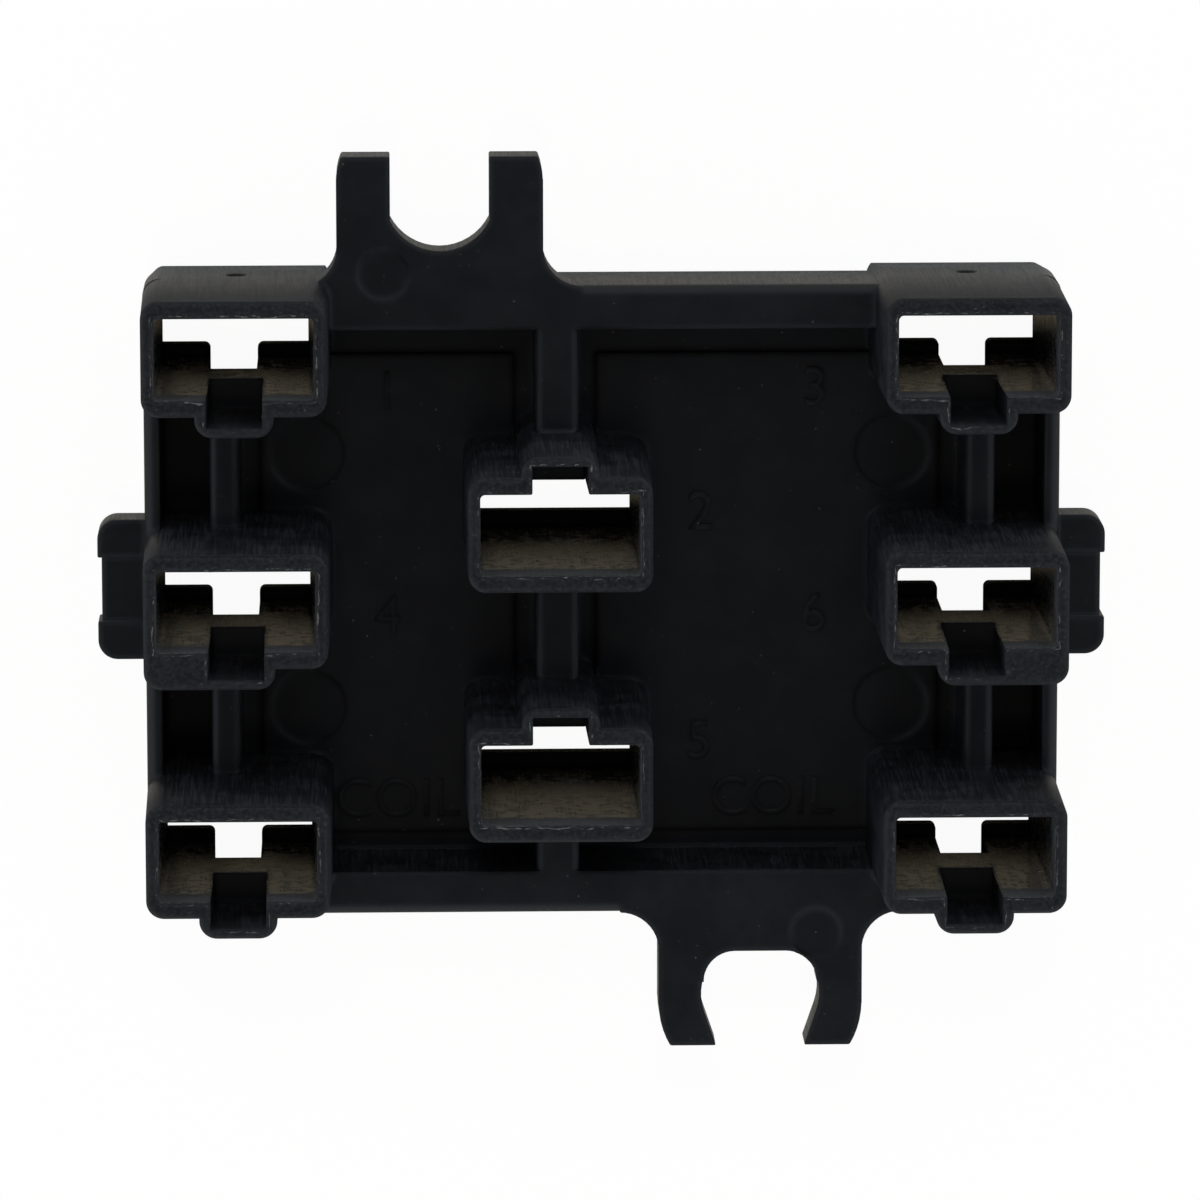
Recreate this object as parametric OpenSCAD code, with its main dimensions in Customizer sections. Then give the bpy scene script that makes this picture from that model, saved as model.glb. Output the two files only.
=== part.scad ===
// Plug-on relay socket: one moulded housing with eight terminal towers.
// The relay's blades enter through the seating face (z = 0). The crimped
// receptacles go in from the open mouths of the towers, which face +Z.
// The origin is the centre of the seating face; +Y is towards the U-slot ear.

/* [Terminal grid] */
// Distance between the centres of the two outer columns
column_span = 37; // [36:0.1:45]
// Distance between neighbouring rows
row_pitch = 12.7; // [12:0.1:16]
// Sideways place of the middle column
middle_x = -2.3; // [-4:0.1:4]
// How far the middle pair lies below the outer columns' upper two rows
middle_drop = 8.9; // [8:0.1:9.4]

/* [Terminal tower] */
// Clear width of a cavity at its mouth
cavity_w = 8; // [7.4:0.1:9.6]
// Clear height of a cavity at its mouth
cavity_h = 4.1; // [3.8:0.1:5]
// How much a cavity narrows on each side from the mouth to the far end
cavity_draft = 0.1; // [0.02:0.01:0.2]
// How much more an outer cavity narrows on the side towards the housing's middle
inner_lean = 0.42; // [0.05:0.01:0.45]
// Width of the keyway that guides the crimp, at the mouth
key_w = 2.8; // [2.4:0.1:3.6]
// How much the keyway narrows on each side from the mouth to the latch bar
key_draft = 0.08; // [0.02:0.01:0.12]
// Depth of the keyway past the cavity's wall
key_d = 1.4; // [1:0.1:1.8]
// Wall left and right of a cavity
side_wall = 0.61; // [0.5:0.01:0.8]
// Wall above and below a cavity
end_wall = 0.85; // [0.6:0.01:1.1]
// Wall beside the keyway
key_wall = 0.56; // [0.4:0.01:0.7]
// Wall across the keyway's end
key_end_wall = 0.48; // [0.4:0.01:0.7]
// Radius of a tower's upright outer corners
tower_r = 0.9; // [0.5:0.05:1.1]
// Radius of a cavity's upright corners
cavity_r = 0.25; // [0.22:0.01:0.4]
// How much wider a tower is at its foot than at its mouth, on each side
tower_draft = 0.1; // [0.05:0.01:0.2]
// Chamfer round the outside of a tower's mouth
mouth_chamfer = 0.15; // [0.05:0.01:0.3]

/* [Heights] */
// Height of the tower mouths above the seating face
body_h = 15.5; // [13:0.1:20]
// Height of the border, ribs and ear fronts
rim_h = 8.1; // [7:0.1:9.8]
// Height of the floor between the towers
floor_h = 2.2; // [1.6:0.1:3]
// Height of the two raised fields on that floor
field_t = 0.35; // [0.2:0.05:0.6]
// Height of the parting line, below which the skirt tapers
parting_h = 4.5; // [3.5:0.1:5.4]
// How much the skirt tapers in on each side down to the seating face
skirt_taper = 0.35; // [0.1:0.05:0.6]

/* [Stops and latch bars] */
// Thickness of the stop lip at a cavity's far end
stop_t = 0.9; // [0.6:0.05:1.4]
// How far the stop lip reaches up from the lower wall in the middle column
stop_reach = 0.83; // [0.5:0.01:1.2]
// The same in the outer columns
outer_stop_reach = 0.7; // [0.5:0.01:1.2]
// Width of the slot that runs from the latch bar out through the stop lip
slot_w = 2.43; // [2.2:0.01:2.8]
// How far that slot lies outwards of the keyway
slot_offset = 0.23; // [0:0.01:0.3]
// Radius of the lip's corners beside the slot
lip_corner_r = 0.3; // [0.1:0.05:0.4]
// Depth from the mouth to the latch bar across the keyway
bar_depth = 6.2; // [4:0.1:8]
// Length of the latch bar along the cavity
bar_len = 4.5; // [3:0.1:6]
// How far the bar's near edge stands up into the cavity
bar_rise = 0.25; // [0.1:0.01:0.4]

/* [Border and ribs] */
// Width of the raised border along the top and bottom edges
border_w = 2.2; // [1.6:0.1:2.6]
// Step of the top border behind the towers' faces
border_step = 0.4; // [0.1:0.05:0.5]
// How far the bottom border stands out past the lowest keyways
toe = 0.3; // [0.2:0.05:0.8]
// Thickness of the side walls between the towers
rim_t = 0.8; // [0.6:0.05:1]
// Radius along the outer front edges of the border and side walls
edge_r = 0.55; // [0.3:0.05:0.6]
// Width of the ribs in the outer columns
outer_rib_w = 1.5; // [1:0.1:1.8]
// How far those ribs lie outwards of their column's centre
outer_rib_offset = 0.65; // [0.4:0.05:1]
// Width of the rib in the middle column
middle_rib_w = 2.2; // [1.6:0.1:2.6]
// Radius along the ribs' top edges
rib_r = 0.4; // [0.2:0.05:0.45]
// Width of the sunk channel round the raised floor fields
channel_w = 1; // [0.7:0.1:1.4]

/* [Mounting ears] */
// Distance of the upper ear's centre line from the housing's, to the left
upper_ear_x = 8.2; // [7.8:0.05:8.5]
// Distance of the lower ear's centre line from the housing's, to the right
lower_ear_x = 8.05; // [7.8:0.05:8.3]
// Width of an ear
ear_w = 10.4; // [9.6:0.05:11]
// Thickness of an ear
ear_t = 2.4; // [1.6:0.1:3.2]
// Reach of the upper, U-slotted ear past the housing
upper_reach = 6.6; // [5.6:0.1:7.6]
// Reach of the lower, C-slotted ear past the housing
lower_reach = 7; // [6.8:0.05:8.4]
// How much the upper ear's tip is narrower than the ear, on each side
upper_tip_inset = 0.25; // [0.1:0.05:0.5]
// Length over which the upper ear narrows to its tip
upper_tip_run = 1.2; // [0.8:0.1:2.4]
// How much the lower ear's tip is narrower than the ear, on each side
lower_tip_inset = 0.6; // [0.1:0.05:0.8]
// Length over which the lower ear narrows to its tip
lower_tip_run = 2.2; // [0.8:0.1:2.8]
// Width of the U slot
u_slot_w = 5; // [4.2:0.1:5.2]
// Radius of the U slot's round end
u_end_r = 2.8; // [2.7:0.05:3.4]
// Radius of the C slot
c_slot_r = 3.03; // [2.8:0.01:3.3]
// Distance from the C slot's centre to its flat side
c_flat = 2.2; // [1.9:0.05:2.4]
// Radius of the corners beside that flat
c_corner_r = 1.6; // [0.8:0.1:1.7]
// Angle at which the C slot closes in towards the ear's tip
c_close_angle = 19; // [10:1:24]
// Flesh between the U slot and the housing's edge
upper_land = 1.8; // [1.2:0.05:2.4]
// Flesh between the C slot and the housing's edge
lower_land = 2.05; // [1.2:0.05:2.4]
// Radius of the inside corners where an ear joins the housing
ear_root_r = 2; // [1:0.1:2.2]

/* [Side latches] */
// Reach of a latch past the side wall
latch_reach = 2.45; // [1.8:0.05:3.4]
// Length of a latch along the side
latch_len = 7.2; // [6:0.1:9]
// Thickness of a latch
latch_t = 2.3; // [1.6:0.1:3]
// Height of a latch's front above the seating face
latch_h = 6.6; // [5:0.1:7]
// Length of each of a latch's two lobes
lobe_len = 1.95; // [1.4:0.05:2.4]
// How far the web between the lobes is sunk
web_drop = 0.35; // [0.2:0.05:0.8]
// How far the web stands back from the lobes' outer faces
web_setback = 0.2; // [0.05:0.05:0.4]
// Radius of a latch's outer corners
latch_r = 1; // [0.5:0.1:1.4]
// How far a latch's centre lies below the middle row
latch_drop = 0.37; // [0:0.01:1]

/* [Mould marks] */
// Radius of the four ejector marks on the floor
floor_mark_r = 1.88; // [1.4:0.01:2]
// Distance of the floor marks from the housing's centre line
floor_mark_x = 15; // [14.8:0.1:15.4]
// Distance of the floor marks above and below the centre
floor_mark_y = 6.6; // [6.4:0.1:6.8]
// Radius of the ejector marks at the roots of the ears
ear_mark_r = 1.27; // [1:0.01:1.4]
// Sideways place of those marks from their ear's centre line
ear_mark_x = 2.85; // [2.4:0.05:3.2]
// Distance of the upper ear's mark past the border's edge
upper_mark_y = 0.65; // [0.2:0.05:1]
// Distance of the lower ear's mark past the border's edge
lower_mark_y = 1.1; // [0.6:0.05:1.4]
// Depth of the ejector marks
mark_depth = 0.12; // [0.05:0.01:0.2]
// Radius of the gate scars on the two upper corner towers
gate_r = 0.5; // [0.3:0.05:0.7]
// Height of the gate scars above the seating face
gate_h = 6.2; // [5.5:0.1:7]

/* [Hidden] */
$fn = 48;
eps = 0.02;
tower_w = cavity_w + 2 * side_wall;
tower_h = cavity_h + 2 * end_wall;
boss_w = key_w + 2 * key_wall;
boss_reach = key_d + key_end_wall - end_wall;
plate_w = column_span + tower_w + 2 * tower_draft;
plate_h = 2 * row_pitch + tower_h + boss_reach + 2 * tower_draft + toe;
edge_x = plate_w / 2;
edge_y = plate_h / 2;
upper_edge_y = edge_y - border_step;
mid_row_y = (boss_reach + toe) / 2;
bar_top = body_h - bar_depth;
bar_foot = bar_top - bar_len;
rows = [for (i = [1, 0, -1]) mid_row_y + i * row_pitch];
middle_rows = [rows[0] - middle_drop, rows[1] - middle_drop];
field_top = upper_edge_y - border_w - 2 * channel_w;
field_bottom = border_w + channel_w - edge_y;
field_edge_x = (column_span - outer_rib_w) / 2 + outer_rib_offset - channel_w;

// A rectangle about the origin with round corners
module rounded(w, h, r) {
    square([w, h - 2 * r], center = true);
    square([w - 2 * r, h], center = true);
    for (x = [-1, 1], y = [-1, 1])
        translate([x * (w / 2 - r), y * (h / 2 - r)]) circle(r);
}

// A block w by d by h with round upright corners that leans in by inset on
// every side towards its top
module drafted_block(w, d, h, r, inset) {
    for (turn = [0, 1]) rotate(90 * turn) {
        half = (turn == 0 ? w : d) / 2;
        run = (turn == 0 ? d : w) - 2 * r;
        translate([0, run / 2, 0]) rotate([90, 0, 0]) linear_extrude(run)
            polygon([[-half, 0], [half, 0], [half - inset, h], [inset - half, h]]);
    }
    for (x = [-1, 1], y = [-1, 1])
        translate([x * (w / 2 - r), y * (d / 2 - r), 0]) cylinder(h, r, r - inset);
}

// The same block upside down: its wide end is at z = top
module hanging_block(w, d, top, h, r, inset) {
    translate([0, 0, top]) mirror([0, 0, 1]) drafted_block(w, d, h, r, inset);
}

// An upright with draft whose mouth measures w by d
module upright(w, d, r) {
    foot_w = w + 2 * tower_draft;
    foot_d = d + 2 * tower_draft;
    foot_r = r + tower_draft;
    linear_extrude(rim_h) rounded(foot_w, foot_d, foot_r);
    translate([0, 0, rim_h])
        drafted_block(foot_w, foot_d, body_h - rim_h - mouth_chamfer, foot_r, tower_draft);
    translate([0, 0, body_h - mouth_chamfer]) drafted_block(w, d, mouth_chamfer, r, mouth_chamfer);
}

// The outside of one tower, its keyway boss towards -Y. A fill of -1 or 1 makes
// the boss run out to that side of the tower.
module tower(fill) {
    boss_h = boss_reach + 2 * tower_r;
    boss_y = tower_r - (tower_h + boss_reach) / 2;
    upright(tower_w, tower_h, tower_r);
    translate([0, boss_y, 0]) upright(boss_w, boss_h, tower_r);
    fill_w = (tower_w + boss_w) / 2;
    if (fill != 0)
        translate([fill * (tower_w - fill_w) / 2, boss_y, 0]) upright(fill_w, boss_h, tower_r);
}

// The keyway from the mouth down to the latch bar, towards -Y
module keyway() {
    near = key_w / 2;
    far = near - key_draft;
    rotate([90, 0, 0]) linear_extrude(cavity_h / 2 + key_d)
        polygon([[-near, body_h + eps], [near, body_h + eps], [far, bar_top], [-far, bar_top]]);
}

// The ramp on the latch bar: it rises into the cavity towards the mouth
module latch_ramp() {
    floor_y = -cavity_h / 2;
    translate([-key_w / 2, 0, 0]) rotate([90, 0, 90]) linear_extrude(key_w)
        polygon([[floor_y + bar_rise, bar_top], [floor_y - key_d, bar_top],
                 [floor_y - key_d, bar_foot], [floor_y, bar_foot]]);
}

// The slot from the latch bar's foot out through the seating face; it notches a
// stop lip that reaches up by lip
module foot_slot(lip) {
    low = -cavity_h / 2 - key_d;
    edge = cavity_draft - cavity_h / 2 + lip;
    translate([0, 0, -eps]) linear_extrude(bar_foot + eps) {
        translate([-slot_w / 2, low]) square([slot_w, edge - low + eps]);
        for (side = [-1, 1]) translate([side * slot_w / 2, edge - lip_corner_r]) difference() {
            translate([-lip_corner_r, 0]) square([2 * lip_corner_r, lip_corner_r + eps]);
            translate([side * lip_corner_r, 0]) circle(lip_corner_r);
        }
    }
}

// What is left standing on a cavity's wall towards the housing's middle, with
// that wall towards -X
module lean_wedge() {
    wall_x = -cavity_w / 2;
    rotate([90, 0, 0]) linear_extrude(2 * cavity_h, center = true)
        polygon([[wall_x, body_h], [wall_x + inner_lean, -eps], [wall_x - 1, -eps],
                 [wall_x - 1, body_h]]);
}

// The room for one receptacle: the cavity less the stop lip on its lower wall
module chamber(lip) {
    hanging_block(cavity_w, cavity_h, body_h + eps, body_h - stop_t + eps, cavity_r,
                  cavity_draft);
    translate([0, lip / 2, 0])
        cube([cavity_w - 2 * cavity_draft, cavity_h - 2 * cavity_draft - lip, 4 * stop_t],
             center = true);
}

// Everything cut out of a tower of the outer columns, with its keyway below;
// side is the way out from the housing's centre line
module outer_cavity(side) {
    difference() {
        union() {
            chamber(outer_stop_reach);
            keyway();
        }
        latch_ramp();
        mirror([side < 0 ? 1 : 0, 0, 0]) lean_wedge();
    }
    translate([side * slot_offset, 0, 0]) foot_slot(outer_stop_reach);
}

// Everything cut out of a middle tower, with its keyway above
module middle_cavity() {
    difference() {
        union() {
            chamber(stop_reach);
            mirror([0, 1, 0]) keyway();
        }
        mirror([0, 1, 0]) latch_ramp();
    }
    mirror([0, 1, 0]) foot_slot(0);
}

// Places a child at every tower of the outer columns: $side is -1 or 1, $row 0 to 2
module outer_towers() {
    for ($side = [-1, 1], $row = [0, 1, 2])
        translate([$side * column_span / 2, rows[$row], 0]) children();
}

// Places a child at both middle towers
module middle_towers() {
    for (y = middle_rows) translate([middle_x, y, 0]) children();
}

// What is cut off to round an edge that runs along +X, with the body below and
// behind it
module edge_cutter(len, r) {
    rotate([90, 0, 90]) linear_extrude(len) difference() {
        translate([-r, -r]) square(r + 1);
        translate([-r, -r]) circle(r);
    }
}

// The floor plate with its raised border and side walls
module tray() {
    difference() {
        linear_extrude(rim_h) rounded(plate_w, plate_h, tower_r);
        translate([rim_t - edge_x, border_w - edge_y, floor_h])
            cube([plate_w - 2 * rim_t, plate_h - 2 * border_w - border_step, rim_h]);
        translate([-column_span / 2, 0, 0]) rotate([90, 0, 90]) linear_extrude(column_span)
            polygon([[upper_edge_y, rim_h + 1], [upper_edge_y, parting_h],
                     [upper_edge_y - skirt_taper, 0], [upper_edge_y - skirt_taper, -1],
                     [edge_y + 1, -1], [edge_y + 1, rim_h + 1]]);
        translate([-edge_x - 1, upper_edge_y, rim_h]) edge_cutter(plate_w + 2, edge_r);
        translate([edge_x + 1, -edge_y, rim_h]) rotate(180) edge_cutter(plate_w + 2, edge_r);
        translate([edge_x, edge_y + 1, rim_h]) rotate(-90) edge_cutter(plate_h + 2, edge_r);
        translate([-edge_x, -edge_y - 1, rim_h]) rotate(90) edge_cutter(plate_h + 2, edge_r);
    }
}

// The raised floor fields either side of the middle rib
module floor_fields() {
    gap = middle_rib_w / 2 + channel_w;
    for (span = [[-field_edge_x, middle_x - gap], [middle_x + gap, field_edge_x]])
        translate([span[0], field_bottom, floor_h / 2])
            cube([span[1] - span[0], field_top - field_bottom, floor_h / 2 + field_t]);
}

// A rib of width w that runs from y = 0 to y = run, with its top edges rounded
module rib(w, run) {
    translate([0, run, 0]) rotate([90, 0, 0]) linear_extrude(run) {
        translate([-w / 2, 0]) square([w, rim_h - rib_r]);
        translate([rib_r - w / 2, 0]) square([w - 2 * rib_r, rim_h]);
        for (side = [-1, 1]) translate([side * (w / 2 - rib_r), rim_h - rib_r]) circle(rib_r);
    }
}

// The ribs that tie the towers of each column together
module ribs() {
    for (side = [-1, 1])
        translate([side * (column_span / 2 + outer_rib_offset), rows[2], 0])
            rib(outer_rib_w, rows[0] - rows[2]);
    translate([middle_x, border_w / 2 - edge_y, 0])
        rib(middle_rib_w, plate_h - border_w - border_step);
}

// The space that the skirt and towers may fill: tapered in below the parting line
module skirt_envelope() {
    hanging_block(plate_w, plate_h, parting_h, parting_h, tower_r, skirt_taper);
    translate([-edge_x, -edge_y, parting_h - eps]) cube([plate_w, plate_h, body_h]);
}

// The outline of an ear that reaches up from y = 0 and narrows by inset over
// the last run of its length, with its root corners
module ear_blank(reach, inset, run) {
    root = border_w / 2;
    bow_r = (inset * inset + run * run) / (2 * inset);
    for (side = [-1, 1]) {
        translate([side * ear_w / 4, (reach - run - root) / 2])
            square([ear_w / 2 + eps, reach - run + root], center = true);
        intersection() {
            translate([side * ear_w / 4, reach - run / 2 - eps])
                square([ear_w / 2 + eps, run + eps], center = true);
            translate([side * (ear_w / 2 - bow_r), reach - run]) circle(bow_r, $fn = 96);
        }
        difference() {
            translate([side * (ear_w + ear_root_r) / 2, (ear_root_r - root) / 2])
                square([ear_root_r, ear_root_r + root], center = true);
            translate([side * (ear_w / 2 + ear_root_r), ear_root_r]) circle(ear_root_r);
        }
    }
}

// The U slot, open at the tip of an ear
module u_slot() {
    translate([0, upper_land + u_end_r]) {
        intersection() {
            circle(u_end_r);
            square([u_slot_w, 2 * u_end_r], center = true);
        }
        translate([-u_slot_w / 2, 0]) square([u_slot_w, upper_reach]);
    }
}

// The C slot: a circle with one flat side that closes in towards the ear's tip
module c_slot() {
    corner_y = c_flat - c_corner_r;
    corner_x = sqrt(pow(c_slot_r - c_corner_r, 2) - pow(corner_y, 2));
    corner_angle = atan2(corner_y, corner_x);
    touch = c_slot_r * [cos(c_close_angle), sin(c_close_angle)];
    exit = lower_reach;
    exit_x = touch[0] - (exit - touch[1]) * tan(c_close_angle);
    translate([0, lower_land + c_flat]) {
        intersection() {
            circle(c_slot_r);
            union() {
                translate([-c_slot_r, -corner_y]) square([2 * c_slot_r, 2 * c_slot_r]);
                polygon([[0, 0], c_slot_r * [cos(corner_angle), -sin(corner_angle)],
                         [c_slot_r, corner_y], [-c_slot_r, corner_y],
                         c_slot_r * [-cos(corner_angle), -sin(corner_angle)]]);
            }
        }
        for (side = [-1, 1]) translate([side * corner_x, -corner_y]) circle(c_corner_r);
        translate([-corner_x, -c_flat]) square([2 * corner_x, c_flat]);
        polygon([touch, [exit_x, exit], [-exit_x, exit], [-touch[0], touch[1]], [0, 0]]);
    }
}

// Both mounting ears, flush with the front of the border
module ears() {
    translate([0, 0, rim_h - ear_t]) {
        translate([-upper_ear_x, upper_edge_y, 0]) linear_extrude(ear_t) difference() {
            ear_blank(upper_reach, upper_tip_inset, upper_tip_run);
            u_slot();
        }
        translate([lower_ear_x, -edge_y, 0]) rotate(180) linear_extrude(ear_t) difference() {
            ear_blank(lower_reach, lower_tip_inset, lower_tip_run);
            c_slot();
        }
    }
}

// One side latch: two lobes and the sunk web between them, reaching towards +X
module latch() {
    depth = latch_reach + rim_t;
    back = latch_h - latch_t;
    mid_x = edge_x - rim_t + depth / 2;
    lobe_y = (latch_len - lobe_len) / 2;
    for (side = [-1, 1])
        translate([mid_x, 0, back]) linear_extrude(latch_t) intersection() {
            translate([0, side * lobe_y]) square([2 * depth, lobe_len], center = true);
            union() {
                rounded(depth, latch_len, latch_r);
                translate([-depth / 4, 0]) square([depth / 2, latch_len], center = true);
            }
        }
    web_len = latch_len - 2 * lobe_len + 2 * eps;
    translate([edge_x - rim_t, -web_len / 2, back])
        cube([depth - web_setback, web_len, latch_t - web_drop]);
}

// The shallow round marks that the mould leaves
module mould_marks() {
    for (x = [-1, 1], y = [-1, 1])
        translate([x * floor_mark_x, y * floor_mark_y, floor_h + field_t - mark_depth])
            cylinder(mark_depth + 1, floor_mark_r, floor_mark_r);
    translate([-upper_ear_x - ear_mark_x, upper_edge_y + upper_mark_y, rim_h - mark_depth])
        cylinder(mark_depth + 1, ear_mark_r, ear_mark_r);
    translate([lower_ear_x + ear_mark_x, -edge_y - lower_mark_y, rim_h - mark_depth])
        cylinder(mark_depth + 1, ear_mark_r, ear_mark_r);
    for (side = [-1, 1])
        translate([side * column_span / 2, edge_y + 1, gate_h])
            rotate([90, 0, 0]) cylinder(mark_depth + 1, gate_r, gate_r);
}

// The whole moulding
module housing() {
    color([0.07, 0.07, 0.075]) difference() {
        union() {
            intersection() {
                union() {
                    tray();
                    ribs();
                    outer_towers() tower($row == 1 ? $side : 0);
                }
                skirt_envelope();
            }
            middle_towers() mirror([0, 1, 0]) tower(0);
            floor_fields();
            ears();
            for (turn = [0, 1])
                translate([0, mid_row_y - latch_drop, 0]) mirror([turn, 0, 0]) latch();
        }
        outer_towers() outer_cavity($side);
        middle_towers() middle_cavity();
        mould_marks();
    }
}

housing();
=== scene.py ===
# %% [markdown]
# # A plug-on relay socket
#
# The real object is one black moulding, about 46 mm by 33 mm by 15.5 mm. Eight rectangular
# towers hold crimped receptacles, two slotted ears take its screws, and a grip tab stands out
# on each short side. The frame below is the CAD model of it, at its real size, in metres.
# Nothing here moves or resizes that frame: the cells only finish its surface.

# %% Load the frame
import math
from types import SimpleNamespace

import bmesh
import bpy
from mathutils import Matrix, Vector
from mathutils.bvhtree import BVHTree
from mathutils.geometry import intersect_point_line


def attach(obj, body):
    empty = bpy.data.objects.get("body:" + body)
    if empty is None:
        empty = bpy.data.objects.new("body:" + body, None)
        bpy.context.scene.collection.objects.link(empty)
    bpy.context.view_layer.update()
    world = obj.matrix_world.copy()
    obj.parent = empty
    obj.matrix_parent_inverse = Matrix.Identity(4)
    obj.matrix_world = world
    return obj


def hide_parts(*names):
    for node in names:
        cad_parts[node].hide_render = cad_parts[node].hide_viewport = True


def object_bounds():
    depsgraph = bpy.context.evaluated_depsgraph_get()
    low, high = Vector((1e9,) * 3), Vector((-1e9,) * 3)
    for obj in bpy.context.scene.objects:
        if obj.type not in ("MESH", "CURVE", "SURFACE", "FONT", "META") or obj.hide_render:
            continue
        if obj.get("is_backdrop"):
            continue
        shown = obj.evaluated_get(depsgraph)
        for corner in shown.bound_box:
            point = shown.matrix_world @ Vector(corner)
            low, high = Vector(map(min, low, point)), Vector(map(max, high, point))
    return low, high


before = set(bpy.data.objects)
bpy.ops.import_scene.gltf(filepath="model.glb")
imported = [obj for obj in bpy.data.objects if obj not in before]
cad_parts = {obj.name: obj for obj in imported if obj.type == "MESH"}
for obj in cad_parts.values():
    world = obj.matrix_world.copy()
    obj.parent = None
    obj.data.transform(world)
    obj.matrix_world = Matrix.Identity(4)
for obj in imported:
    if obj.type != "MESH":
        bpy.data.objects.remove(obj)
cad_low, cad_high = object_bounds()
MM = 0.001
BODY = "root"
collection = bpy.context.scene.collection
print("CAD box in mm:", [round(v / MM, 2) for v in (*cad_low, *cad_high)])

# %% [markdown]
# ## Camera
#
# The camera stands almost straight above the open mouths, as for a catalogue picture. It leans
# a few degrees towards the upper ear, so that the upper walls of the towers just show. A long
# lens from 0.4 m keeps the perspective weak, yet the inner walls of the cavities still open up
# towards one side. Its direction is given by two leans, because those can be read off the real
# object: one from the towers' upper walls, and one from their side walls.

# %% Camera
MOUTH_Z = cad_high.z
AIM = Vector((-0.353 * MM, 1.207 * MM, MOUTH_Z))
CAMERA_DISTANCE = 394.6 * MM
LEAN_UP = math.radians(10.05)
LEAN_LEFT = math.radians(1.6)
CAMERA_TURN = math.radians(0.05)
LENS = 237.6
SENSOR = 36.0
NEAREST = 0.01
FARTHEST = 10.0


def make_camera():
    data = bpy.data.cameras.new("camera")
    data.lens = LENS
    data.sensor_width = SENSOR
    data.clip_start = NEAREST
    data.clip_end = FARTHEST
    made = bpy.data.objects.new("camera", data)
    collection.objects.link(made)
    towards = Vector((-math.tan(LEAN_LEFT), math.tan(LEAN_UP), 1.0)).normalized()
    right = Vector((0, 1, 0)).cross(towards).normalized()
    facing = Matrix((right, towards.cross(right), towards)).transposed().to_4x4()
    turn = Matrix.Rotation(-CAMERA_TURN, 4, "Z")
    made.matrix_world = Matrix.Translation(AIM + towards * CAMERA_DISTANCE) @ facing @ turn
    bpy.context.scene.camera = made
    return made


camera = make_camera()
print("camera at", [round(v, 4) for v in camera.matrix_world.translation])

# %% [markdown]
# ## A short way to write shader maths
#
# A material is a graph of nodes. Written out node by node it is long and hard to read, so one
# small class wraps an output socket. Its operators add Math nodes, and `node` adds any other
# node: first its settings, then the values or links of its sockets.


# %% Socket wrapper
class Wire:
    """An output socket that can stand in a Python expression."""

    def __init__(self, tree, socket=None):
        self.tree = tree
        self.socket = socket

    def node(self, kind, settings=None, values=None, output=0):
        made = self.tree.nodes.new(kind)
        for name, value in (settings or {}).items():
            if name == "stops":
                ramp = made.color_ramp.elements
                while len(ramp) < len(value):
                    ramp.new(1.0)
                for element, (position, colour) in zip(ramp, value):
                    element.position = position
                    element.color = colour
            else:
                setattr(made, name, value)
        for name, value in (values or {}).items():
            if isinstance(value, Wire):
                self.tree.links.new(value.socket, made.inputs[name])
            else:
                made.inputs[name].default_value = value
        return Wire(self.tree, made.outputs[output])

    def math(self, operation, first, second=0.0):
        return self.node("ShaderNodeMath", {"operation": operation}, {0: first, 1: second})

    def __add__(self, other):
        return self.math("ADD", self, other)

    def __radd__(self, other):
        return self.math("ADD", other, self)

    def __sub__(self, other):
        return self.math("SUBTRACT", self, other)

    def __rsub__(self, other):
        return self.math("SUBTRACT", other, self)

    def __mul__(self, other):
        return self.math("MULTIPLY", self, other)

    def __rmul__(self, other):
        return self.math("MULTIPLY", other, self)

    def ramp(self, low, high):
        """0 below low, 1 above high, and a smooth step between them."""
        return self.node(
            "ShaderNodeMapRange",
            {"interpolation_type": "SMOOTHSTEP"},
            {"Value": self, "From Min": low, "From Max": high},
        )

    def noise(self, scale, detail=2.0, rough=0.5):
        """Noise in space; self is a place, and scale is in waves for one of its units."""
        return self.node(
            "ShaderNodeTexNoise",
            {},
            {"Vector": self, "Scale": scale, "Detail": detail, "Roughness": rough},
        )

    def stretch(self, x, y, z):
        return self.node(
            "ShaderNodeVectorMath", {"operation": "MULTIPLY"}, {0: self, 1: (x, y, z)}
        )

    def in_mm(self):
        """A place in metres as a place in millimetres."""
        return self.stretch(1 / MM, 1 / MM, 1 / MM)


def blend(sheet, share, first, second):
    """A colour between first and second; a colour Mix node has its sockets at 6, 7 and 2."""
    return sheet.node(
        "ShaderNodeMix", {"data_type": "RGBA"}, {0: share, 6: first, 7: second}, output=2
    )


def new_material(name):
    made = bpy.data.materials.new(name)
    made.use_nodes = True
    made.node_tree.nodes.clear()
    return made, Wire(made.node_tree)


def finish_surface(sheet, shader):
    out = sheet.tree.nodes.new("ShaderNodeOutputMaterial")
    sheet.tree.links.new(shader.socket, out.inputs["Surface"])


print("socket wrapper ready")

# %% [markdown]
# ## Black moulded plastic
#
# The socket is moulded in a nearly black thermoplastic with a dull sheen. Close up it isn't one
# flat black. The melt leaves soft, cloudy changes of shade, and the mould leaves a fine grain.
# Walls that slid along the steel carry faint upright draw lines, and the mouths of the towers
# are rubbed paler. Polished cores made the cavities, so their walls reflect like dull mirrors,
# apart from stains and a dull band at the mouth where the receptacles rub as they go in. Their
# colour also carries a painted paler tone, which stands for the light they pick up inside. All
# of it is worked out from the place on the object in millimetres, so each mark has its real
# size.
#
# The patterns come first, because colour, gloss and relief share them. A noise that is squeezed
# along the height gives the draw lines, and ramps of the height pick out the mouths. `upright`
# is 1 on walls and 0 on floors, and `cavity` is 1 on the faces marked further down.

# %% Patterns on the plastic
DRAW_SQUEEZE = 0.035
MOUTH_BAND = (15.2, 15.42)


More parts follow.
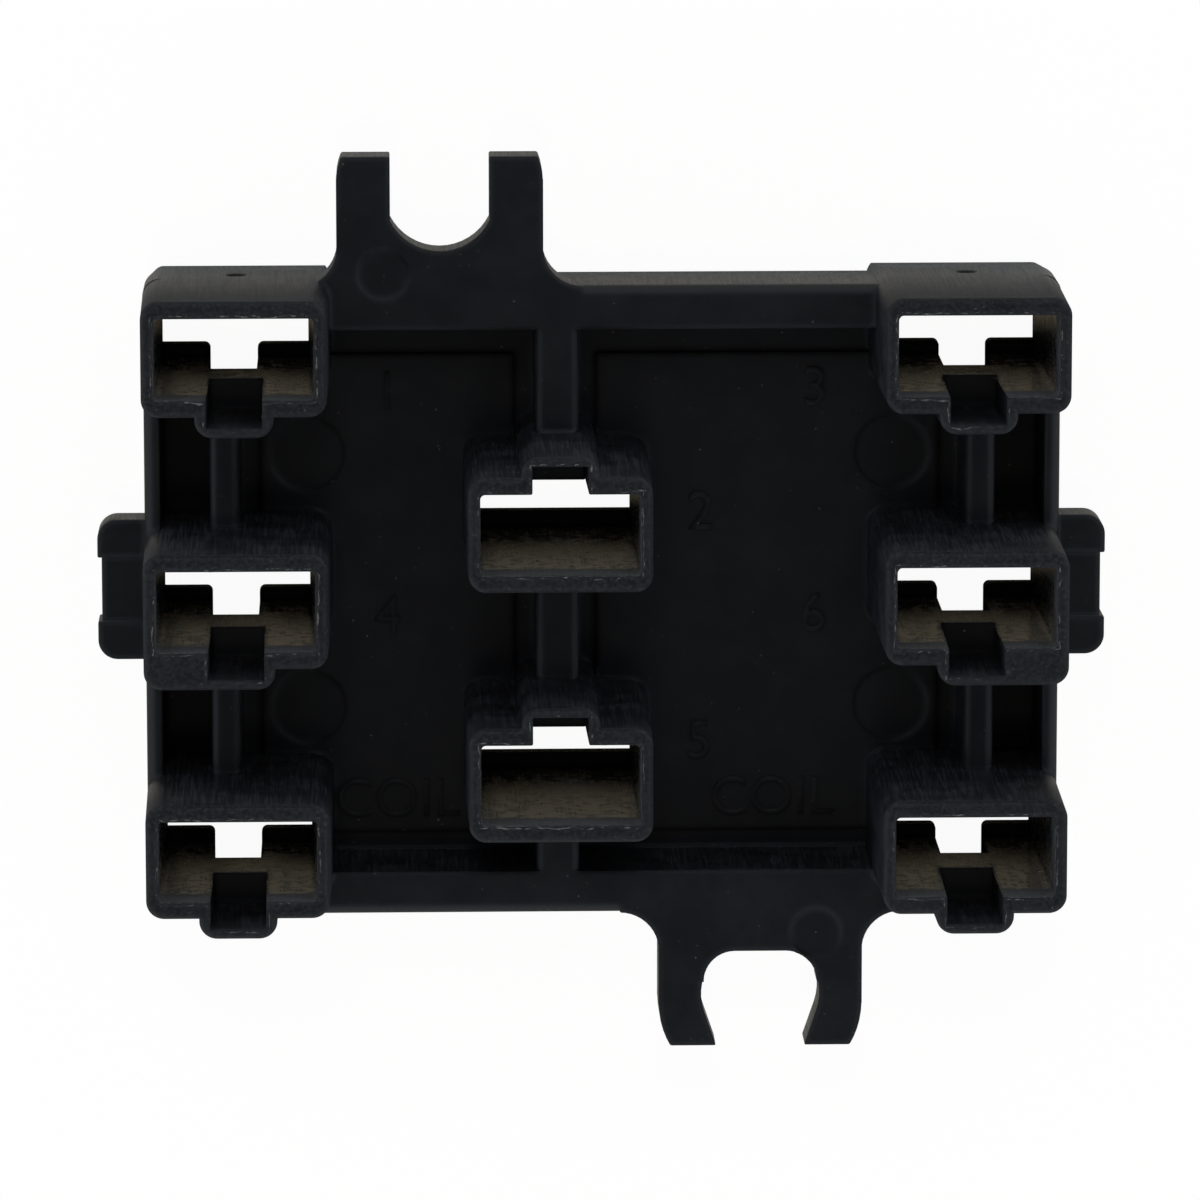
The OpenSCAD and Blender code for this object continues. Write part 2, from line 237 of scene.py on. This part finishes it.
def plastic_patterns(sheet):
    place = sheet.node("ShaderNodeTexCoord", output="Object").in_mm()
    normal = sheet.node("ShaderNodeNewGeometry", output="Normal")
    faces_up = sheet.node("ShaderNodeSeparateXYZ", {}, {0: normal}, output="Z")
    height = sheet.node("ShaderNodeSeparateXYZ", {}, {0: place}, output="Z")
    draw = place.stretch(1.0, 1.0, DRAW_SQUEEZE).noise(7.5, 3.0, 0.6)
    return SimpleNamespace(
        height=height,
        upright=1.0 - faces_up.math("ABSOLUTE", faces_up).ramp(0.1, 0.5),
        cavity=sheet.node("ShaderNodeAttribute", {"attribute_name": "cavity"}, output="Fac"),
        top=height.ramp(*MOUTH_BAND),
        clouds=place.noise(0.42, 3.0, 0.6),
        mottle=place.noise(2.6, 4.0, 0.65),
        grain=place.noise(11.0, 3.0, 0.6),
        scuffs=place.noise(5.0, 3.0, 0.7),
        stains_and_painted_light=place.noise(1.7, 1.5, 0.5),
        specks=place.node("ShaderNodeTexVoronoi", {}, {"Vector": place, "Scale": 1.7}),
        draw=draw,
        streaks=draw.ramp(0.4, 0.68),
    )


print("patterns ready")

# %% [markdown]
# The colour is built up like paint. Each layer has a mask from 0 to 1 that says where it shows:
# clouds in the black, draw lines on the outer walls, a painted paler tone on the cavity walls
# for the light they pick up inside, the rubbed mouths, and a little dust. The darkest plastic
# reflects only a third of a hundredth of the light, and the palest layers less than a tenth.

# %% Colours of the plastic
PLASTIC_BLACK = (0.0034, 0.0036, 0.0044, 1.0)
PLASTIC_CLOUD = (0.0062, 0.0065, 0.0075, 1.0)
PLASTIC_RUBBED = (0.0120, 0.0122, 0.0135, 1.0)
PLASTIC_DRAWN = (0.0240, 0.0250, 0.0290, 1.0)
PLASTIC_DUST = (0.0900, 0.0880, 0.0800, 1.0)
# Painted light: a pale tone for the cavity walls that stands for the light they pick up inside.
PLASTIC_PAINTED_CAVITY_LIGHT = (0.0950, 0.0960, 0.0950, 1.0)


def plastic_colour(sheet, on):
    cloudy = on.clouds.ramp(0.3, 0.75) * 0.6 + on.mottle * 0.2 + on.grain * 0.2
    outer_wall = on.upright * (1.0 - on.cavity)
    drawn = outer_wall * (0.3 + 0.9 * on.streaks) * (0.5 + on.clouds.ramp(0.4, 0.65))
    rubbed = on.top * (0.05 + 1.5 * on.scuffs.ramp(0.4, 0.66))
    dusty = (1.0 - on.specks.ramp(0.05, 0.12)) * on.mottle.ramp(0.5, 0.6)
    dusty = dusty + on.top * on.scuffs.ramp(0.6, 0.72) * on.grain.ramp(0.5, 0.6)
    colour = blend(sheet, cloudy, PLASTIC_BLACK, PLASTIC_CLOUD)
    colour = blend(sheet, drawn * 0.8, colour, PLASTIC_DRAWN)
    # Painted light: the cavity walls are made paler, patchy with the stain noise, in place of
    # light.
    colour = blend(sheet, on.cavity * (0.4 + 0.6 * on.stains_and_painted_light), colour, PLASTIC_PAINTED_CAVITY_LIGHT)
    colour = blend(sheet, rubbed, colour, PLASTIC_RUBBED)
    return blend(sheet, dusty * 0.5, colour, PLASTIC_DUST)


print("colour layers ready")

# %% [markdown]
# On a black object gloss says more than colour does. The outside is a satin that is duller near
# the mouths and glossier down the walls. The cavity walls are much glossier, up to a dull band
# below the mouth. The relief is a few thousandths of a millimetre, and nearly none in the
# cavities. A Bevel node softens the shading of the edges beyond what the mesh rounds.

# %% Gloss and relief of the plastic
LOW_WALL = (6.0, 11.0)
HIGH_WALL = (9.5, 15.0)
DULL_BAND = (13.2, 14.0)
SHADED_RADIUS = 0.45 * MM
PLASTIC_IOR = 1.42


def plastic_roughness(on):
    low = on.upright * (1.0 - on.height.ramp(*LOW_WALL))
    outside = 0.27 + 0.2 * on.clouds + 0.12 * on.mottle + on.upright * (0.1 * on.streaks)
    outside = outside + on.upright * (0.2 * on.height.ramp(*HIGH_WALL)) - 0.14 * low
    inside = 0.07 + 0.09 * on.draw.ramp(0.35, 0.7) + 0.17 * on.stains_and_painted_light.ramp(0.38, 0.62)
    inside = inside + 0.4 * on.height.ramp(*DULL_BAND)
    return outside + on.cavity * (inside - outside)


def plastic_relief(on):
    lines = on.upright * on.draw * 0.004
    return (1.0 - 0.85 * on.cavity) * (on.grain * 0.0016 + on.mottle * 0.004 + lines)


def black_plastic():
    made, sheet = new_material("black_plastic")
    on = plastic_patterns(sheet)
    soft = sheet.node("ShaderNodeBevel", {"samples": 4}, {"Radius": SHADED_RADIUS})
    bump = sheet.node(
        "ShaderNodeBump",
        {},
        {"Height": plastic_relief(on), "Strength": 1.0, "Distance": MM, "Normal": soft},
    )
    shader = sheet.node(
        "ShaderNodeBsdfPrincipled",
        {},
        {
            "Base Color": plastic_colour(sheet, on),
            "Roughness": plastic_roughness(on),
            "IOR": PLASTIC_IOR,
            "Normal": bump,
        },
    )
    finish_surface(sheet, shader)
    return made


plastic = black_plastic()
print("plastic nodes:", len(plastic.node_tree.nodes))

# %% [markdown]
# ## The moulding with softened edges
#
# A steel mould can't leave a razor edge: every outer edge has a radius of just under a tenth of
# a millimetre, and that thin line is what catches the light. The CAD node is loose triangles,
# so a copy of it is merged first, and its flat faces are joined again. Then the sharp outward
# edges are bevelled.

# %% Merge a copy of the housing
MERGE_WITHIN = 0.002 * MM
FLAT_WITHIN = math.radians(0.5)


def merged_copy(node):
    work = bmesh.new()
    work.from_mesh(node.data)
    bmesh.ops.remove_doubles(work, verts=work.verts, dist=MERGE_WITHIN)
    bmesh.ops.dissolve_limit(
        work, angle_limit=FLAT_WITHIN, verts=work.verts, edges=work.edges
    )
    return work


housing_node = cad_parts["housing"]
merged = merged_copy(housing_node)
print("merged housing:", len(merged.verts), "points,", len(merged.faces), "faces")

# %% [markdown]
# Where walls meet at odd angles, a bevel can fold over itself and leave a black scrap. A trial
# bevel finds those places: a folded triangle faces against its own face, or against the
# nearest part of the unbevelled shape, or lies too far from it. The edges beside a fold are
# left sharp, and the trial is repeated a few times. Last, the flat faces round the mouths go
# down by a twentieth of a millimetre, which leaves room for the flash that stands on them.

# %% Choose the edges that can be rounded
SHARP_FROM = math.radians(60)
EDGE_RADIUS = 0.085 * MM
EDGE_STEPS = 2
FOLD_REACH = 0.15 * MM
AGAINST_SHAPE = -0.3
NO_AREA = 4e-11
TRIALS = 4


def bevelled(work, chosen):
    trial = work.copy()
    trial.edges.ensure_lookup_table()
    bmesh.ops.bevel(
        trial,
        geom=[trial.edges[i] for i in chosen],
        offset=EDGE_RADIUS,
        offset_type="OFFSET",
        segments=EDGE_STEPS,
        profile=0.5,
        affect="EDGES",
        clamp_overlap=False,
        miter_outer="SHARP",
    )
    trial.normal_update()
    return trial


def folds(trial, shape):
    found = []
    for triangle in trial.calc_loop_triangles():
        a, b, c = (corner.vert.co for corner in triangle)
        normal = (b - a).cross(c - a)
        if normal.length < NO_AREA:
            continue
        normal.normalize()
        middle = (a + b + c) / 3
        _, facing, _, distance = shape.find_nearest(middle)
        folded = normal.dot(triangle[0].face.normal) < 0
        turned = normal.dot(facing) < AGAINST_SHAPE
        if folded or turned or distance > FOLD_REACH:
            found.append(middle)
    return found


def beside(point, edge):
    a, b = (corner.co for corner in edge.verts)
    _, share = intersect_point_line(point, a, b)
    return (a.lerp(b, min(max(share, 0.0), 1.0)) - point).length < FOLD_REACH


def soften(work):
    shape = BVHTree.FromBMesh(work)
    chosen = {
        edge.index
        for edge in work.edges
        if edge.is_convex and edge.calc_face_angle() > SHARP_FROM
    }
    work.edges.ensure_lookup_table()
    for trial_number in range(TRIALS):
        trial = bevelled(work, sorted(chosen))
        points = folds(trial, shape)
        drop = {i for i in chosen if any(beside(p, work.edges[i]) for p in points)}
        print("trial", trial_number, "edges", len(chosen), "folds", len(points))
        if not drop or trial_number == TRIALS - 1:
            return trial
        chosen -= drop
        trial.free()


softened = soften(merged)

# %% Lower the mouth faces
FACE_DROP = 0.05 * MM
TOP_WITHIN = 0.01 * MM


def lower_mouths(work):
    top = [corner for corner in work.verts if corner.co.z > cad_high.z - TOP_WITHIN]
    for corner in top:
        corner.co.z -= FACE_DROP
    return len(top)


print("mouth points lowered:", lower_mouths(softened))

# %% [markdown]
# Shading follows the geometry: inward corners stay sharp, while the narrow bevels and the
# chamfers round the mouths shade smoothly into their flats. Weighted normals let the large flat
# faces decide, so that they look flat right up to the bevel. Each face inside a cavity is also
# marked, because the polished cores of the mould leave those walls smoother.

# %% Shade it and mark the cavities
INWARD_SHARP = math.radians(28)
OUTWARD_SHARP = math.radians(50)
UPRIGHT_BELOW = 0.5
OUTER_X = 18.5
ROWS = (13.365, 0.665, -12.035)
MIDDLE_X = -2.3
MIDDLE_ROWS = (4.465, -8.235)
CAVITY_HALF = (4.02, 2.07)
CAVITIES = [(side * OUTER_X, y) for side in (-1, 1) for y in ROWS]
CAVITIES += [(MIDDLE_X, y) for y in MIDDLE_ROWS]


def in_cavity(place):
    return any(
        abs(place.x / MM - x) < CAVITY_HALF[0] and abs(place.y / MM - y) < CAVITY_HALF[1]
        for x, y in CAVITIES
    )


def shaded_mesh(work, name):
    for edge in work.edges:
        limit = OUTWARD_SHARP if edge.is_convex else INWARD_SHARP
        edge.smooth = edge.calc_face_angle(0.0) < limit
    cavity = work.faces.layers.float.new("cavity")
    inside = 0
    for face in work.faces:
        face.smooth = True
        upright = abs(face.normal.z) < UPRIGHT_BELOW
        face[cavity] = float(upright and in_cavity(face.calc_center_median()))
        inside += face[cavity]
    mesh = bpy.data.meshes.new(name)
    work.to_mesh(mesh)
    print("faces inside cavities:", int(inside))
    return mesh


def plain_mesh(piece):
    """Replaces a piece's mesh by its evaluated one, and drops its modifiers."""
    graph = bpy.context.evaluated_depsgraph_get()
    mesh = bpy.data.meshes.new_from_object(piece.evaluated_get(graph))
    piece.modifiers.clear()
    piece.data = mesh
    return mesh


moulding = bpy.data.objects.new("moulding", shaded_mesh(softened, "moulding"))
collection.objects.link(moulding)
weighted = moulding.modifiers.new("normals", "WEIGHTED_NORMAL")
weighted.keep_sharp = True
solid = plain_mesh(moulding)
solid.materials.clear()
solid.materials.append(plastic)
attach(moulding, BODY)
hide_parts("housing")
print("moulding:", len(solid.vertices), "points,", len(solid.polygons), "faces")

# %% [markdown]
# ## Terminal numbers
#
# Raised figures on the tray floor number the terminals, and the coil pair has its word. They
# are the same plastic as the floor and stand only 0.16 mm above it, so they show as faint
# outlines. Text objects give the letter forms, and each is turned into a mesh before it is
# placed. Their size is the height of a capital, which is about 0.7 of a font's own size.

# %% Labels on the floor
LABEL_Z = 2.55 * MM
LABEL_HEIGHT = 0.16 * MM
LABEL_SIZE = 2.0 * MM
CAPITAL_SHARE = 0.7
LABELS = [
    ("1", -10.9, 9.75),
    ("3", 11.05, 9.9),
    ("2", 5.2, 3.45),
    ("4", -10.9, -1.9),
    ("6", 11.0, -1.9),
    ("5", 5.1, -8.55),
    ("COIL", -10.45, -11.5),
    ("COIL", 8.9, -11.5),
]


def text_mesh(words):
    curve = bpy.data.curves.new("label", "FONT")
    curve.body = words
    curve.size = LABEL_SIZE / CAPITAL_SHARE
    curve.extrude = LABEL_HEIGHT
    curve.align_x = "CENTER"
    curve.align_y = "CENTER"
    holder = bpy.data.objects.new("label", curve)
    collection.objects.link(holder)
    graph = bpy.context.evaluated_depsgraph_get()
    graph.update()
    mesh = bpy.data.meshes.new_from_object(holder.evaluated_get(graph))
    bpy.data.objects.remove(holder)
    return mesh


def labels_piece():
    work = bmesh.new()
    for words, x, y in LABELS:
        mesh = text_mesh(words)
        mesh.transform(Matrix.Translation((x * MM, y * MM, LABEL_Z)))
        work.from_mesh(mesh)
        bpy.data.meshes.remove(mesh)
    bmesh.ops.remove_doubles(work, verts=work.verts, dist=MERGE_WITHIN)
    mesh = bpy.data.meshes.new("terminal_numbers")
    work.to_mesh(mesh)
    work.free()
    mesh.materials.append(plastic)
    made = bpy.data.objects.new("terminal_numbers", mesh)
    collection.objects.link(made)
    return made


numbers = labels_piece()
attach(numbers, BODY)
print("terminal numbers:", len(numbers.data.polygons), "faces")

# %% [markdown]
# ## Flash round the mouths
#
# Where the cores of the mould met its face, a hair of plastic crept out. It stands just outside
# the inner edge of each mouth as a thin, uneven line, with a burr here and there. Its colour
# has
# a painted highlight: it turns pale in patches where it would catch the light. It follows a
# path,
# so Geometry Nodes make it: an outline becomes a curve, noise pushes it about, and a small
# round profile whose size comes from more noise is swept along it. It sinks into the lowered
# mouth faces by its own size, so its top stays within the height of the CAD model. Each burr is
# a place and a size, in millimetres.

# %% Mouth outlines
CAVITY_W = 8.0
CAVITY_H = 4.1
KEY_W = 2.8
KEY_D = 1.4
FLASH_STEP = 0.11
FLASH_OUT = 0.11
FLASH_BELOW = 0.02 * MM
BURR_REACH = 0.28
BURRS = [
    (-14.5, 13.3, 0.07), (-14.5, 11.4, 0.09), (-14.5, 12.2, 0.05), (-20.2, 11.2, 0.03),
    (-14.5, 1.4, 0.08), (-14.6, -1.3, 0.1), (-14.5, 0.4, 0.04), (-22.5, -1.3, 0.03),
    (22.5, 1.9, 0.06), (22.5, 0.2, 0.05), (22.4, -1.3, 0.08), (20.0, 2.7, 0.04),
    (16.9, -10.0, 0.06), (19.4, -10.0, 0.04), (22.5, -12.4, 0.05), (14.6, -13.9, 0.04),
    (-19.9, -14.1, 0.08), (-17.1, -14.1, 0.07), (-14.5, -11.6, 0.04), (21.9, 11.3, 0.05),
    (-1.0, -10.3, 0.09), (-6.1, -10.2, 0.1), (-6.2, -6.2, 0.06), (1.6, -6.3, 0.07),
    (1.7, 5.6, 0.07), (1.6, 6.4, 0.08), (-3.7, 7.9, 0.05), (1.7, 3.2, 0.04),
]


def mouth_corners(x, y, key_side):
    w, h, k = CAVITY_W / 2 + FLASH_OUT, CAVITY_H / 2 + FLASH_OUT, KEY_W / 2 + FLASH_OUT
    deep = h + KEY_D
    shape = [(-w, -h), (-k, -h), (-k, -deep), (k, -deep), (k, -h), (w, -h), (w, h), (-w, h)]
    return [(x + a, y - key_side * b) for a, b in shape]


def burr_at(px, py):
    """The size of the nearest burr, fading to 0 at its reach."""
    sizes = [
        size * max(0.0, 1 - math.dist((px, py), (x, y)) / BURR_REACH) for x, y, size in BURRS
    ]
    return max(sizes) * MM


def mouth_paths(name):
    points, edges = [], []
    for x, y in CAVITIES:
        corners = mouth_corners(x, y, 1 if x == MIDDLE_X else -1)
        first = len(points)
        for (ax, ay), (bx, by) in zip(corners, corners[1:] + corners[:1]):
            steps = max(2, round(math.dist((ax, ay), (bx, by)) / FLASH_STEP))
            for i in range(steps):
                points.append((ax + (bx - ax) * i / steps, ay + (by - ay) * i / steps))
        count = len(points) - first
        edges += [(first + i, first + (i + 1) % count) for i in range(count)]
    burrs = [burr_at(px, py) for px, py in points]
    mesh = bpy.data.meshes.new(name)
    mesh.from_pydata([(x * MM, y * MM, MOUTH_Z - FLASH_BELOW) for x, y in points], edges, [])
    mesh.attributes.new("burr", "FLOAT", "POINT").data.foreach_set("value", burrs)
    made = bpy.data.objects.new(name, mesh)
    collection.objects.link(made)
    return made


flash = mouth_paths("mouth_flash")
print("flash paths:", len(flash.data.vertices), "points round", len(CAVITIES), "mouths")

# %% Sweep the flash
FLASH_SIZES = {"Thickness": 0.055 * MM, "Wander": 0.45 * MM, "Drop": FACE_DROP}
# Painted highlight: the pale flash colour stands for light caught along the flash.
FLASH_PAINTED_GLINT = (0.085, 0.086, 0.083, 1.0)
FLASH_DARK = (0.012, 0.012, 0.013, 1.0)
PROFILE_SIDES = 6


def flash_material():
    made, sheet = new_material("flash_plastic")
    place = sheet.node("ShaderNodeTexCoord", output="Object").in_mm()
    # Painted highlight: the flash turns pale in patches where it would catch the light.
    painted_glint = place.noise(1.9, 3.0, 0.6).ramp(0.42, 0.62)
    colour = blend(sheet, painted_glint, FLASH_DARK, FLASH_PAINTED_GLINT)
    shader = sheet.node(
        "ShaderNodeBsdfPrincipled", {}, {"Base Color": colour, "Roughness": 0.45 + 0.2 * painted_glint}
    )
    finish_surface(sheet, shader)
    return made


def flash_tree(material):
    tree = bpy.data.node_groups.new("mouth_flash", "GeometryNodeTree")
    faces = tree.interface
    faces.new_socket("Paths", in_out="INPUT", socket_type="NodeSocketGeometry")
    names = {
        name: faces.new_socket(name, in_out="INPUT", socket_type="NodeSocketFloat").identifier
        for name in FLASH_SIZES
    }
    faces.new_socket("Flash", in_out="OUTPUT", socket_type="NodeSocketGeometry")
    sheet = Wire(tree)
    paths = sheet.node("NodeGroupInput", output="Paths")
    thickness = sheet.node("NodeGroupInput", output="Thickness")
    wander = sheet.node("NodeGroupInput", output="Wander")
    drop = sheet.node("NodeGroupInput", output="Drop")
    place = sheet.node("GeometryNodeInputPosition").in_mm()
    drift = place.node(
        "ShaderNodeTexNoise", {}, {"Vector": place, "Scale": 1.1, "Detail": 3.0}, output="Color"
    )
    drift = sheet.node(
        "ShaderNodeVectorMath", {"operation": "SUBTRACT"}, {0: drift, 1: (0.5, 0.5, 0.5)}
    )
    drift = drift.stretch(1.0, 1.0, 0.0)
    drift = sheet.node(
        "ShaderNodeVectorMath", {"operation": "SCALE"}, {0: drift, "Scale": wander}
    )
    burr = sheet.node(
        "GeometryNodeInputNamedAttribute", {"data_type": "FLOAT"}, {"Name": "burr"}
    )
    size = thickness * (0.12 + 0.4 * place.noise(0.8, 2.0, 0.5).ramp(0.4, 0.7)) + burr * 0.8
    size = size + thickness * place.noise(4.0, 2.0, 0.6).ramp(0.45, 0.75)
    depth = size.math("MAXIMUM", size, drop)
    sunk = sheet.node("ShaderNodeCombineXYZ", {}, {"Z": depth * -1.0})
    moved = sheet.node("GeometryNodeSetPosition", {}, {"Geometry": paths, "Offset": drift})
    moved = sheet.node("GeometryNodeSetPosition", {}, {"Geometry": moved, "Offset": sunk})
    curve = sheet.node("GeometryNodeMeshToCurve", {}, {"Mesh": moved})
    ring = sheet.node(
        "GeometryNodeCurvePrimitiveCircle", {}, {"Resolution": PROFILE_SIDES, "Radius": 1.0}
    )
    swept = sheet.node(
        "GeometryNodeCurveToMesh", {}, {"Curve": curve, "Profile Curve": ring, "Scale": size}
    )
    smooth = sheet.node("GeometryNodeSetShadeSmooth", {}, {"Geometry": swept})
    real = sheet.node("GeometryNodeRealizeInstances", {}, {"Geometry": smooth})
    done = sheet.node("GeometryNodeSetMaterial", {}, {"Geometry": real, "Material": material})
    out = tree.nodes.new("NodeGroupOutput")
    tree.links.new(done.socket, out.inputs["Flash"])
    return tree, names


tree, names = flash_tree(flash_material())
sweep = flash.modifiers.new("sweep", "NODES")
sweep.node_group = tree
for name, value in FLASH_SIZES.items():
    sweep[names[name]] = value
swept = plain_mesh(flash)
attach(flash, BODY)
heights = [corner.co.z for corner in swept.vertices]
print("flash:", len(swept.polygons), "faces, up to z =", round(max(heights) / MM, 3), "mm")

# %% [markdown]
# ## Floor
#
# The socket stands on a plain cream table. What the camera sees of it is nearly white, and
# only a few hundredths of it are lit, which keeps a faint shadow. Reflections see the table
# itself, lit by the lamps, because a dull black surface at a grazing angle shows its colour.

# %% Floor
FLOOR_HALF = 2.5
FLOOR_GAP = 0.02 * MM
FLOOR_CREAM = (0.45, 0.44, 0.42, 1.0)
FLOOR_SEEN = (0.95, 0.95, 0.94, 1.0)
FLOOR_WHITE_SHARE = 0.95


def make_floor():
    made, sheet = new_material("floor")
    seen = sheet.node("ShaderNodeLightPath", output="Is Camera Ray")
    cream = blend(sheet, seen, FLOOR_CREAM, FLOOR_SEEN)
    lit = sheet.node("ShaderNodeBsdfDiffuse", {}, {"Color": cream})
    white = sheet.node("ShaderNodeEmission", {}, {"Color": (1, 1, 1, 1), "Strength": 1.0})
    mixed = sheet.node(
        "ShaderNodeMixShader", {}, {0: seen * FLOOR_WHITE_SHARE, 1: lit, 2: white}
    )
    finish_surface(sheet, mixed)
    h = FLOOR_HALF
    mesh = bpy.data.meshes.new("floor")
    mesh.from_pydata([(-h, -h, 0), (h, -h, 0), (h, h, 0), (-h, h, 0)], [], [(0, 1, 2, 3)])
    mesh.transform(Matrix.Translation((0, 0, cad_low.z - FLOOR_GAP)))
    mesh.materials.append(made)
    floor = bpy.data.objects.new("floor", mesh)
    collection.objects.link(floor)
    floor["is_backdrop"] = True
    return floor


floor = make_floor()
print("floor at z =", round(floor.data.vertices[0].co.z / MM, 3), "mm")

# %% [markdown]
# ## Light
#
# Three lights make the picture. The soft room light comes from the world: dark overhead, bright
# half way up and dim at the horizon, so faces that look up stay black, slanting faces get a
# sheen and the rounded edges don't glow. A small warm lamp shines nearly straight down through
# the open cavities, and its patches on the table show in their polished walls. A cooler side
# lamp lights the table beside the socket. Together they light a level surface at about 1, so a
# colour renders as it is written. Each lamp's row gives its name, its share of that level, its
# colour, how far it leans towards +Y and towards -X, and how wide it looks, in degrees.

# %% Lights
SKY_ZENITH = (0.082, 0.088, 0.1, 1.0)
SKY_MIDDLE = (0.9, 1.0, 1.15, 1.0)
SKY_HORIZON = (0.34, 0.38, 0.45, 1.0)
LAMPS = [
    ("cavity_lamp", 0.29, (1.0, 0.86, 0.6), -6.3, 1.6, 6.0),
    ("side_lamp", 0.24, (1.0, 0.98, 0.93), 27.0, 3.0, 12.0),
]


def make_world():
    world = bpy.data.worlds.new("room")
    world.use_nodes = True
    world.node_tree.nodes.clear()
    sheet = Wire(world.node_tree)
    ray = sheet.node("ShaderNodeTexCoord", output="Generated")
    up = sheet.node("ShaderNodeSeparateXYZ", {}, {0: ray}, output="Z")
    room = blend(sheet, up.ramp(0.02, 0.3), SKY_HORIZON, SKY_MIDDLE)
    room = blend(sheet, up.ramp(0.45, 0.93), room, SKY_ZENITH)
    seen = sheet.node("ShaderNodeLightPath", output="Is Camera Ray")
    shown = blend(sheet, seen, room, (1.0, 1.0, 1.0, 1.0))
    glow = sheet.node("ShaderNodeBackground", {}, {"Color": shown, "Strength": 1.0})
    out = world.node_tree.nodes.new("ShaderNodeOutputWorld")
    world.node_tree.links.new(glow.socket, out.inputs["Surface"])
    bpy.context.scene.world = world
    return world


def make_lamp(name, level, colour, up, left, width):
    data = bpy.data.lights.new(name, "SUN")
    data.energy = level * math.pi
    data.color = colour
    data.angle = math.radians(width)
    made = bpy.data.objects.new(name, data)
    collection.objects.link(made)
    towards = Vector((-math.tan(math.radians(left)), math.tan(math.radians(up)), 1.0))
    made.rotation_euler = towards.to_track_quat("Z", "Y").to_euler()
    made.location = towards.normalized()
    made.visible_glossy = False
    return made


world = make_world()
lamps = [make_lamp(*row) for row in LAMPS]
bpy.context.scene.view_settings.view_transform = "Standard"
print("lights:", [light.name for light in (world, *lamps)])

# %% Print the boxes and finish
seen_low, seen_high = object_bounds()
boxes = {
    "cad": [list(cad_low), list(cad_high)],
    "visual": [list(seen_low), list(seen_high)],
}
for name, corners in boxes.items():
    print(name, "box in mm:", [[round(v / MM, 2) for v in corner] for corner in corners])
